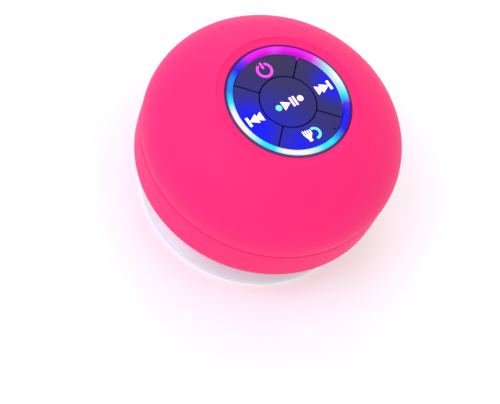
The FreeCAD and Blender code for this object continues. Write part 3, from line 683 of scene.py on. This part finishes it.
FINISHES = {
    "soft_touch_pink": soft_touch_pink(),
    "pink_rubber": pink_rubber(),
    "black_rubber": black_rubber(),
    "bezel_gloss": bezel_gloss(),
    "key_gloss": key_gloss(),
    "light_guide": light_guide(),
    "steel": steel(),
    "socket_steel": steel("socket_steel", (0.68, 0.68, 0.69), 0.24),
    "black_plastic": plain_plastic("black_plastic", (0.015, 0.015, 0.016)),
    "board_green": circuit_board(),
    "chip_black": plain_plastic("chip_black", (0.01, 0.01, 0.011), 0.45),
    "lamp_white": plain_plastic("lamp_white", (0.85, 0.84, 0.7), 0.25),
    "plug_white": plain_plastic("plug_white", (0.75, 0.72, 0.64), 0.4),
    "cell_foil": steel("cell_foil", (0.7, 0.71, 0.73), 0.35),
    "ferrite": plain_plastic("ferrite", (0.03, 0.03, 0.033), 0.6),
    "cone_paper": pressed_paper(),
    "coil_copper": steel("coil_copper", (0.75, 0.33, 0.15), 0.28),
    "spider_cloth": woven_cloth("spider_cloth", (0.5, 0.33, 0.12), 0.5 * MM),
    "mesh_cloth": woven_cloth("mesh_cloth", (0.02, 0.02, 0.022), 0.4 * MM),
    "wire_sleeve": plain_plastic("wire_sleeve", (0.5, 0.012, 0.012), 0.4),
    "sticky_pad": plain_plastic("sticky_pad", (0.75, 0.75, 0.7), 0.8),
    "cup_silicone": milky_silicone(),
    "hub_white": white_plastic(),
}
PRINT_WHITE = lit_print("print_white", (0.98, 0.99, 1.0), 1.0)
PRINT_CYAN = lit_print("print_cyan", srgb(96, 215, 245), 1.0)
PRINT_MAGENTA = lit_print("print_magenta", srgb(240, 52, 228), 1.0)
PRINT_ROSE = lit_print("print_rose", srgb(252, 214, 244), 1.0)


def finish_frame_nodes():
    """Every node that stays gets its slot's finish."""
    for part in frame["record"]["subparts"]:
        node = frame["nodes"].get(part["node"])
        if node is not None:
            for held in node.material_slots:
                held.material = FINISHES[part["material_slot"]]


# ---------------------------------------------------------------- housing

def dome_side(inset, low_z, top_r, count):
    """Points up the dome's elliptical side, from low_z to radius top_r."""
    a, b = BODY_R - inset, DOME_RISE - inset
    low = asin((low_z - EQUATOR_Z) / b)
    high = asin(sqrt(1 - (top_r / a) ** 2))
    return [(a * cos(low + (high - low) * i / count), EQUATOR_Z + b * sin(low + (high - low) * i / count))
            for i in range(count + 1)]


def dome_skin():
    """The dome: rolled edge at the seam, elliptical side, soft step to the land round the panel."""
    side = dome_side(0, SEAM_Z + 0.45 * MM, CREASE_R + 0.35 * MM, 72)
    foot, foot_z = side[0][0], SEAM_Z + SEAM_GAP / 2
    edge = rounded([(foot - 2.0 * MM, foot_z), (foot - 0.05 * MM, foot_z), side[0]],
                   [0, 0.22 * MM, 0], 5, closed=False)
    top = rounded([
        side[-1], (CREASE_R - 0.1 * MM, side[-1][1] + 0.1 * MM), (CREASE_R - 0.35 * MM, LAND_Z + 0.05 * MM),
        (PANEL_HOLE_R + 1.2 * MM, LAND_Z), (PANEL_HOLE_R, LAND_Z - 0.03 * MM), (PANEL_HOLE_R, PANEL_SEAT_Z),
        (PANEL_SEAT_R, PANEL_SEAT_Z),
    ], [0, 0.14 * MM, 0.22 * MM, 0, 0.22 * MM, 0, 0], 6, closed=False)
    inner = dome_side(WALL, SEAM_Z + 0.02 * MM, DOME_INSIDE_R, 40)[::-1]
    outline = edge[:-1] + side + top[1:] + inner
    return piece("dome_skin", turned(outline, FINISHES["soft_touch_pink"]), FINISHES["soft_touch_pink"],
                 "housing", "soft_touch_pink", "top_shell")


def band_side():
    """Points up the outside of the lower band: its round lower edge, then its slightly full side."""
    low_side = FLOOR_Z + BAND_ROUND
    corner = BAND_ROUND * (1 - sqrt(0.5))
    foot, start = (BAND_R - BAND_ROUND, FLOOR_Z), (BAND_R, low_side)
    top = (BAND_R - 0.05 * MM, SEAM_Z - 0.4 * MM)
    bottom = arc(foot, (BAND_R - corner, FLOOR_Z + corner), start, 20)
    side = arc(start, (BAND_R + 0.06 * MM, low_side + 4 * MM), top, 24)
    return bottom + side[1:]


def band_skin():
    """The lower band and its floor, with the port pocket, sound slots, lock hole and screw wells."""
    side = band_side()
    top_r = side[-1][0]
    rim_z = SEAM_Z - SEAM_GAP / 2
    rim = rounded([side[-1], (top_r - 0.05 * MM, rim_z), (top_r - 2.0 * MM, rim_z)],
                  [0, 0.22 * MM, 0], 6, closed=False)
    outline = [(HUB_HOLE_R, FLOOR_Z)] + side + rim[1:]
    outline += [(BAND_R - WALL, FLOOR_Z + BAND_ROUND), (BAND_R - BAND_ROUND, FLOOR_Z + WALL)]
    outline += [(HUB_HOLE_R, FLOOR_Z + WALL)]
    skin = turned(outline, FINISHES["soft_touch_pink"])
    cutters = [slab(disc_outline(SCREW_WELL_R, 40, *at(SCREW_CIRCLE_R, 45 + 90 * i)), FLOOR_Z - MM,
                    FLOOR_Z + 1.75 * MM) for i in range(4)]
    slot = sector_outline(SOUND_SLOT_IN_R, SOUND_SLOT_OUT_R, radians(-16), radians(16), 24, 0.9 * MM)
    cutters += [slab(slot, FLOOR_Z - MM, FLOOR_Z + 2 * WALL, turn=radians(22.5 + 45 * i)) for i in range(8)]
    skin = carved(skin, cutters)
    pocket = lying_bar(BAND_R - 2.5 * MM, BAND_R + 3 * MM, -8.0 * MM, 8.0 * MM, 4.0 * MM, 0.9 * MM)
    anchor = lying_bar(BAND_R - 2.5 * MM, BAND_R + 3 * MM, 7.0 * MM, 10.3 * MM, 1.55 * MM, 0.3 * MM)
    mouth = lying_bar(30 * MM, BAND_R, -4.75 * MM, 4.75 * MM, 1.85 * MM, 1.84 * MM)
    skin = carved(skin, [pocket, anchor, mouth])
    skin = joined([skin, carved(port_backing(), [pocket, anchor, mouth])])
    for side_turn in (0, 180):
        notch = sector_outline(HUB_HOLE_R - MM, LOCK_NOTCH_R, radians(28), radians(72), 20, 0.3 * MM)
        cut = slab(notch, FLOOR_Z - MM, FLOOR_Z + WALL + MM, turn=radians(side_turn))
        skin = carved(skin, [cut])
    return piece("band_skin", tidy(skin), FINISHES["soft_touch_pink"],
                 "housing", "soft_touch_pink", "lower_shell")


def at(r, angle):
    return r * cos(radians(angle)), r * sin(radians(angle))


def lying_bar(x0, x1, y0, y1, half_z, round_r):
    """A bar along X at the port's height, with its four long edges rounded."""
    outline = bar_outline(y1 - y0, 2 * half_z, round_r, (y0 + y1) / 2, 0.0, 6)
    mesh = slab(outline, x0, x1)
    lie_down = Matrix(((0, 0, 1, 0), (1, 0, 0, 0), (0, 1, 0, 0), (0, 0, 0, 1)))
    mesh.transform(Matrix.Translation((0, 0, PORT_Z)) @ lie_down)
    return mesh


def port_backing():
    """The thicker wall behind the charging port, inside the band."""
    wall = sector_outline(PORT_WALL_R, BAND_R - 1.0 * MM, radians(-14.5), radians(14.5), 16)
    return tidy(slab(wall, PORT_WALL_LOW, PORT_WALL_HIGH))


# ---------------------------------------------------------------- charging flap

def band_x(y, z):
    """How far out along X the band's surface is, at a place on the charging side."""
    side = band_side()
    for (r0, z0), (r1, z1) in zip(side, side[1:]):
        if z0 <= z <= z1:
            r = r0 + (r1 - r0) * (z - z0) / (z1 - z0)
            return sqrt(r * r - y * y)
    return BAND_R


def flap_front(y, z):
    """The flap's outer face: flush with the band, scooped for a fingernail, thinner beside the fold."""
    x = band_x(y, z) - 0.02 * MM
    nail = max(0.0, 1 - ((y + 7.9 * MM) / (1.7 * MM)) ** 2 - ((z - PORT_Z) / (2.3 * MM)) ** 2)
    x -= 0.75 * MM * nail
    fold = min(1.0, max(0.0, (y - 3.9 * MM) / (0.9 * MM)))
    return min(x, x + (HINGE_X + 0.6 * MM - x) * fold * fold * (3 - 2 * fold))


def flap_plate():
    """The flap's plate, built as rings that shrink from its outline towards its middle."""
    low_y, high_y = FLAP_LOW.y, HINGE_Y
    width, height = high_y - low_y, FLAP_HIGH.z - FLAP_LOW.z
    middle = Vector(((low_y + high_y) / 2, PORT_Z))
    outline = [Vector(p) for p in bar_outline(width, height, 0.7 * MM, middle.x, middle.y, 6)]
    dense = []
    for a, b in zip(outline, outline[1:] + outline[:1]):
        steps = max(1, int((b - a).length / (0.35 * MM)))
        dense += [a + (b - a) * i / steps for i in range(steps)]
    n, edge, verts = len(dense), 0.3 * MM, [(POCKET_X + 0.2 * MM, *p) for p in dense]
    levels = [(edge * (1 - cos(pi / 8 * i)), edge * (1 - sin(pi / 8 * i))) for i in range(5)]
    shrink = [1 - i / 22 for i in range(1, 22)]
    for inset, sunk in levels:
        for p in dense:
            off = p - middle
            q = p - Vector((off.x / width, off.y / height)) * 2 * inset
            verts.append((flap_front(*q) - sunk, *q))
    for k in shrink:
        for p in dense:
            q = middle + (p - middle) * k * 0.96
            verts.append((flap_front(*q), *q))
    verts.append((flap_front(*middle), *middle))
    rows = len(levels) + len(shrink)
    faces = [tuple(reversed(range(n)))]
    for k in range(rows):
        for i in range(n):
            j = (i + 1) % n
            faces.append((k * n + i, k * n + j, k * n + n + j, k * n + n + i))
    faces += [(rows * n + i, rows * n + (i + 1) % n, len(verts) - 1) for i in range(n)]
    mesh = bpy.data.meshes.new("flap_plate")
    mesh.from_pydata(verts, [], faces)
    return tidy(mesh)


def flap_skin():
    """The rubber flap over the charging socket: plate, rolled hinge and the plug that seals the socket."""
    roll = slab(disc_outline(0.85 * MM, 40), FLAP_LOW.z, FLAP_HIGH.z, 0.12 * MM, under=0.12 * MM,
                centre=(HINGE_X, HINGE_Y))
    plug = lying_bar(POCKET_X - 0.7 * MM, POCKET_X + 0.3 * MM, -3.9 * MM, 3.9 * MM, 1.0 * MM, 0.95 * MM)
    return piece("flap_skin", tidy(joined([flap_plate(), roll, plug])), FINISHES["pink_rubber"],
                 "port_flap", "pink_rubber", "port_flap")


# ---------------------------------------------------------------- panel

def bezel_skin():
    """The thin glossy rim round the lit ring, with the flange that holds it under the dome."""
    low, top = BEZEL_LOW.z, BEZEL_HIGH.z
    flange_r = BEZEL_HIGH.x
    inside = BEZEL_R - BEZEL_WALL
    outline = rounded([
        (inside, low), (flange_r, low), (flange_r, low + MM), (BEZEL_R, low + MM), (BEZEL_R, top),
        (inside, top),
    ], [0, 0.1 * MM, 0.1 * MM, 0, 0.3 * MM, 0.12 * MM], 6)
    gloss = FINISHES["bezel_gloss"]
    return piece("bezel_skin", turned(outline, gloss), gloss, "housing", "bezel_gloss", "panel_bezel")


def light_ring_skin():
    """The milky ring round the keys, crowned on top."""
    side_z = PANEL_TOP - 0.2 * MM
    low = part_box("light_ring")[0].z
    middle = (LIGHT_IN_R + LIGHT_OUT_R) / 2
    crown = arc((LIGHT_OUT_R, side_z), (middle, PANEL_TOP), (LIGHT_IN_R, side_z), 16)
    corners = [0, 0, 0.1 * MM] + [0] * 15 + [0.1 * MM]
    outline = rounded([(LIGHT_IN_R, low), (LIGHT_OUT_R, low)] + crown, corners, 4)
    milk = FINISHES["light_guide"]
    return piece("light_ring_skin", turned(outline, milk), milk, "housing", "light_guide", "light_ring")


def outer_key_outline():
    """An outer key seen from above, its middle line along +X, with straight even gaps at its sides."""
    points, radii = [], []
    for r, way in ((KEY_R, 1), (CENTRE_KEY_R + KEY_GAP, -1)):
        end = pi / 4 - asin(KEY_GAP / 2 / r)
        near = end - 0.8 * MM / r
        arc_angles = [near * (i / 18 - 1) for i in range(37)]
        for angle in [-end] + arc_angles + [end]:
            points.append((r * cos(way * angle), r * sin(way * angle)))
            radii.append(0.35 * MM if abs(angle) == end else 0)
    return rounded(points, radii, 5)


def key_skin(name, outline, angle, place_r, cutters=()):
    """One key cap with a soft upper edge, and the stem that presses its switch."""
    gloss = FINISHES["key_gloss"]
    cap = slab(outline, KEY_UNDER, KEY_TOP, 0.25 * MM, 5, turn=radians(angle))
    if cutters:
        cap = carved(cap, cutters)
    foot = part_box(name)[0].z
    stem = slab(disc_outline(STEM_R, 32), foot, KEY_UNDER + 0.02 * MM, centre=at(place_r, angle))
    return piece(name + "_skin", tidy(joined([cap, stem])), gloss, name, "key_gloss", name)


def keys():
    outer = outer_key_outline()
    key_skin("next_key", outer, 0, KEY_PLACE_R)
    key_skin("power_key", outer, 90, KEY_PLACE_R)
    key_skin("previous_key", outer, 180, KEY_PLACE_R)
    sound_hole = slab(disc_outline(MIC_HOLE_R, 24), KEY_UNDER - MM, KEY_TOP + MM,
                      centre=(MIC_R * cos(MIC_ANGLE), MIC_R * sin(MIC_ANGLE)))
    key_skin("call_key", outer, 270, KEY_PLACE_R, [sound_hole])
    key_skin("play_key", disc_outline(CENTRE_KEY_R, 180), 0, 0)


# ---------------------------------------------------------------- symbols, in shares of the panel radius

def pointer(x, height, length, way=1):
    """A triangle whose base stands at x and whose tip points along way times X."""
    return [(x, -way * height / 2), (x + way * length, 0.0), (x, way * height / 2)]


def symbol(name, outlines, x, y, key, ink):
    """Flat printed shapes just proud of a key's top, riding on that key."""
    prints = []
    for outline in outlines:
        shape = [((x + px) * PANEL_R, (y + py) * PANEL_R) for px, py in outline]
        prints.append(slab(shape, KEY_TOP - 0.01 * MM, KEY_TOP + 0.015 * MM))
    return piece(name, tidy(joined(prints)), ink, key, "light_guide")


def skip_symbol(name, way, key):
    """Two pointers and a bar, pointing along way times X."""
    shapes = [rounded(pointer(-0.143 * way, 0.17, 0.15, way), 0.006, 3)]
    shapes.append(rounded(pointer(-0.05 * way, 0.17, 0.15, way), 0.006, 3))
    shapes.append(bar_outline(0.046, 0.17, 0.008, 0.114 * way))
    symbol(name, shapes, 0.667 * way, -0.04, key, PRINT_WHITE)


def power_symbol():
    ring = sector_outline(0.096, 0.139, radians(90 + 27), radians(450 - 27), 60, 0.012)
    bar = bar_outline(0.042, 0.125, 0.018, 0.0, 0.088)
    symbol("power_symbol", [ring, bar], -0.02, 0.64, "power_key", PRINT_MAGENTA)


def call_symbol():
    """A raised hand beside a curved handset."""
    hand = [bar_outline(0.023, 0.075, 0.006, -0.108 + 0.041 * i, 0.06 - 0.006 * i) for i in range(4)]
    palm = [(-0.122, 0.018), (-0.088, -0.055), (-0.088, -0.11), (-0.03, -0.11), (-0.03, -0.055),
            (0.022, 0.0), (0.022, 0.012)]
    hand.append(rounded(palm, 0.008, 3))
    symbol("hand_symbol", hand, -0.01, -0.645, "call_key", PRINT_WHITE)
    handset = sector_outline(0.066, 0.108, radians(-100), radians(104), 40, 0.012)
    symbol("handset_symbol", [[(px + 0.064, py - 0.013) for px, py in handset]], -0.01, -0.645,
           "call_key", PRINT_CYAN)


def play_symbol():
    shapes = [rounded(pointer(-0.13, 0.17, 0.145), 0.006, 3)]
    symbol("play_symbol", shapes, 0.0, -0.035, "play_key", PRINT_WHITE)
    shapes = [bar_outline(0.038, 0.172, 0.008, 0.05), bar_outline(0.038, 0.172, 0.008, 0.109)]
    shapes.append([(0.207 + px, py) for px, py in disc_outline(0.053, 32)])
    symbol("pause_symbol", shapes, 0.0, -0.035, "play_key", PRINT_ROSE)
    dot = [(px - 0.207, py) for px, py in disc_outline(0.053, 32)]
    symbol("play_dot", [dot], 0.0, -0.035, "play_key", PRINT_CYAN)


# ---------------------------------------------------------------- underneath

def screw_plug_skins():
    """The four rubber discs in the screw holes underneath."""
    low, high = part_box("screw_plugs")[0].z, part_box("screw_plugs")[1].z
    plug = slab(disc_outline(PLUG_R, 48), low, high, under=0.2 * MM, centre=(SCREW_CIRCLE_R, 0))
    rubber = FINISHES["pink_rubber"]
    row = grow(plug, ROUND_ROW, Count=4, Start=pi / 4, Material=rubber)
    return piece("screw_plug_skins", tidy(row), rubber, "housing", "pink_rubber", "screw_plugs")


def grille_skin():
    """The black woven screen behind the sound slots."""
    low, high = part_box("grille_mesh")
    pitch, wire = 0.7 * MM, 0.1 * MM
    lower = slab(bar_outline(pitch, 0.3 * MM), 0, wire)
    upper = slab(bar_outline(0.3 * MM, pitch), wire * 0.8, wire * 1.8)
    black = FINISHES["mesh_cloth"]
    woven = grow(joined([lower, upper]), WOVEN, Inner=SCREEN_IN_R, Outer=high.x - pitch / 2, Pitch=pitch,
                 Height=low.z + 0.02 * MM, Material=black)
    return piece("grille_skin", woven, black, "housing", "mesh_cloth", "grille_mesh")


def cup_outline():
    """The suction cup cut through its middle: thick at the hub, thin at the flat sealing rim."""
    inner = arc((10.0, 8.4), (25.5, 4.6), (CUP_R / MM - CUP_LAND / MM, 0.02), 40)
    lip = arc((CUP_R / MM, 0.02), (CUP_R / MM + 0.35, 0.7), (CUP_R / MM, 1.4), 8)
    outer = arc((CUP_R / MM, 1.4), (27.5, 6.8), (14.2, 11.6), 40)
    points = [(4.52, 10.3), (5.8, 10.3)] + inner + lip + outer[1:]
    points += rounded([outer[-1], (11.8, 13.28), (4.52, 13.28)], [0, 0.6, 0], 5, closed=False)[1:]
    return [(r * MM, z * MM) for r, z in points]


def cup_skin():
    """The milky suction cup and the tab that peels it off the wall."""
    silicone = FINISHES["cup_silicone"]
    start, end = CUP_R - 1.4 * MM, CUP_R + 1.0 * MM
    half = TAB_HALF_WIDTH
    angles = [pi * (i / 24 - 0.5) for i in range(1, 24)]
    tab = [(start, -half), (end, -half)]
    tab += [(end + half * cos(a), half * sin(a)) for a in angles]
    tab += [(end, half), (start, half)]
    turn = Matrix.Rotation(TAB_ANGLE, 4, "Z")
    plate = slab(tab, 0.2 * MM, 1.3 * MM, 0.3 * MM, under=0.2 * MM)
    plate.transform(turn)
    cup = carved(turned(cup_outline(), silicone), [plate], "UNION")
    grips = []
    for i in range(4):
        bar = bar_outline(0.5 * MM, (5 - 0.9 * i) * MM, 0.24 * MM, end + 1.1 * MM * (i - 0.2))
        grips.append(slab(bar, 1.2 * MM, 1.5 * MM, 0.15 * MM))
        grips[-1].transform(turn)
    return piece("cup_skin", tidy(joined([cup, *grips])), silicone,
                 "suction_cup", "cup_silicone", "suction_cup")


def hub_skin():
    """The white plug that twists into the housing, with a ribbed flange and two lugs."""
    white = FINISHES["hub_white"]
    low, high = HUB_LOW.z, HUB_HIGH.z
    flange_high = FLOOR_Z - 0.2 * MM
    outline = rounded([
        (HUB_BORE_R, low), (HUB_STEM_R, low), (HUB_STEM_R, FLANGE_LOW_Z), (FLANGE_R, FLANGE_LOW_Z),
        (FLANGE_R, flange_high), (HUB_NECK_R, flange_high), (HUB_NECK_R, high), (HUB_BORE_R, high),
    ], [0, 0.2 * MM, 0, 0.25 * MM, 0.25 * MM, 0.15 * MM, 0.4 * MM, 0], 5)
    rib = slab(disc_outline(0.35 * MM, 14), FLANGE_LOW_Z + 0.25 * MM, flange_high - 0.25 * MM, 0.1 * MM,
               under=0.1 * MM, centre=(FLANGE_R - 0.05 * MM, 0))
    ribs = grow(rib, ROUND_ROW, Count=48, Start=0.0, Material=white)
    lug_low = FLOOR_Z + WALL + 0.1 * MM
    lug = slab(sector_outline(LUG_IN_R, LUG_OUT_R, radians(-20), radians(20), 24, 0.3 * MM), lug_low,
               lug_low + 1.7 * MM, 0.2 * MM)
    lugs = grow(lug, ROUND_ROW, Count=2, Start=0.0, Material=white)
    lid = slab(disc_outline(1.6 * MM, 32), 19.0 * MM, high - 0.1 * MM)
    return piece("hub_skin", tidy(joined([turned(outline, white), ribs, lugs, lid])), white,
                 "suction_cup", "hub_white", "cup_hub")


# ---------------------------------------------------------------- floor, light and camera

def floor():
    """A wide pale light table under the cup's rim, clear when looked at from below."""
    half = FLOOR_HALF_WIDTH
    mesh = bpy.data.meshes.new("floor")
    corners = [(-half, -half, 0), (half, -half, 0), (half, half, 0), (-half, half, 0)]
    mesh.from_pydata(corners, [], [(0, 1, 2, 3)])
    paint = Finish("pale_floor", (0.76, 0.765, 0.77), 0.9)
    paint.shader.inputs["Emission Color"].default_value = (1.0, 1.0, 1.0, 1.0)
    paint.shader.inputs["Emission Strength"].default_value = 0.25
    paint.mottle(60 * MM, 0.995, 1.005)
    behind = paint.add("ShaderNodeNewGeometry").outputs["Backfacing"]
    clear = paint.add("ShaderNodeBsdfTransparent").outputs[0]
    one_sided = paint.add("ShaderNodeMixShader", i0=behind, i1=paint.shader.outputs[0], i2=clear)
    paint.feed(one_sided.outputs[0], paint.tree.nodes["Material Output"].inputs["Surface"])
    mesh.materials.append(paint.material)
    made = bpy.data.objects.new("floor", mesh)
    bpy.context.scene.collection.objects.link(made)


def soft_box(name, place, size, power, colour=(1, 1, 1)):
    """A soft square lamp that faces the speaker."""
    lamp = bpy.data.lights.new(name, "AREA")
    lamp.size = size
    lamp.energy = power
    lamp.color = colour
    made = bpy.data.objects.new(name, lamp)
    made.location = place
    made.rotation_mode = "QUATERNION"
    made.rotation_quaternion = (Vector(place) - Vector((0, 0, 0.03))).to_track_quat("Z", "Y")
    bpy.context.scene.collection.objects.link(made)


def studio():
    world = bpy.data.worlds.new("studio")
    world.use_nodes = True
    sky = world.node_tree.nodes["Background"]
    sky.inputs["Color"].default_value = (1.0, 1.0, 1.0, 1.0)
    sky.inputs["Strength"].default_value = 0.9
    bpy.context.scene.world = world
    soft_box("upper_left", (-0.55, 0.15, 0.75), 0.5, 2.4, (0.95, 0.85, 1.3))
    soft_box("far_side", (0.35, 0.75, 0.55), 0.5, 1.6, (1.0, 0.85, 1.2))


def camera_at(azimuth, elevation, roll, distance, aim, right_by, up_by, lens):
    """A camera whose view axis passes right_by and up_by metres beside the aim point."""
    a, e = radians(azimuth), radians(elevation)
    back = Vector((sin(a) * cos(e), -cos(a) * cos(e), sin(e)))
    right = Vector((cos(a), sin(a), 0))
    up = back.cross(right)
    right, up = right * cos(roll) + up * sin(roll), up * cos(roll) - right * sin(roll)
    lens_data = bpy.data.cameras.new("camera")
    lens_data.lens = lens
    lens_data.clip_start, lens_data.clip_end = 0.01, 20
    made = bpy.data.objects.new("camera", lens_data)
    made.rotation_mode = "QUATERNION"
    made.location = Vector(aim) - right * right_by - up * up_by + back * distance
    made.rotation_quaternion = Matrix((right, up, back)).transposed().to_quaternion()
    bpy.context.scene.collection.objects.link(made)
    bpy.context.scene.camera = made


finish_frame_nodes()
dome_skin()
band_skin()
flap_skin()
bezel_skin()
light_ring_skin()
keys()
skip_symbol("next_symbol", 1, "next_key")
skip_symbol("previous_symbol", -1, "previous_key")
power_symbol()
call_symbol()
play_symbol()
screw_plug_skins()
grille_skin()
cup_skin()
hub_skin()
floor()
studio()
camera_at(-57.2, 59.0, radians(26.46), 415 * MM, (0, 0, PANEL_TOP), 12.17 * MM, 31.8 * MM, 96.5)
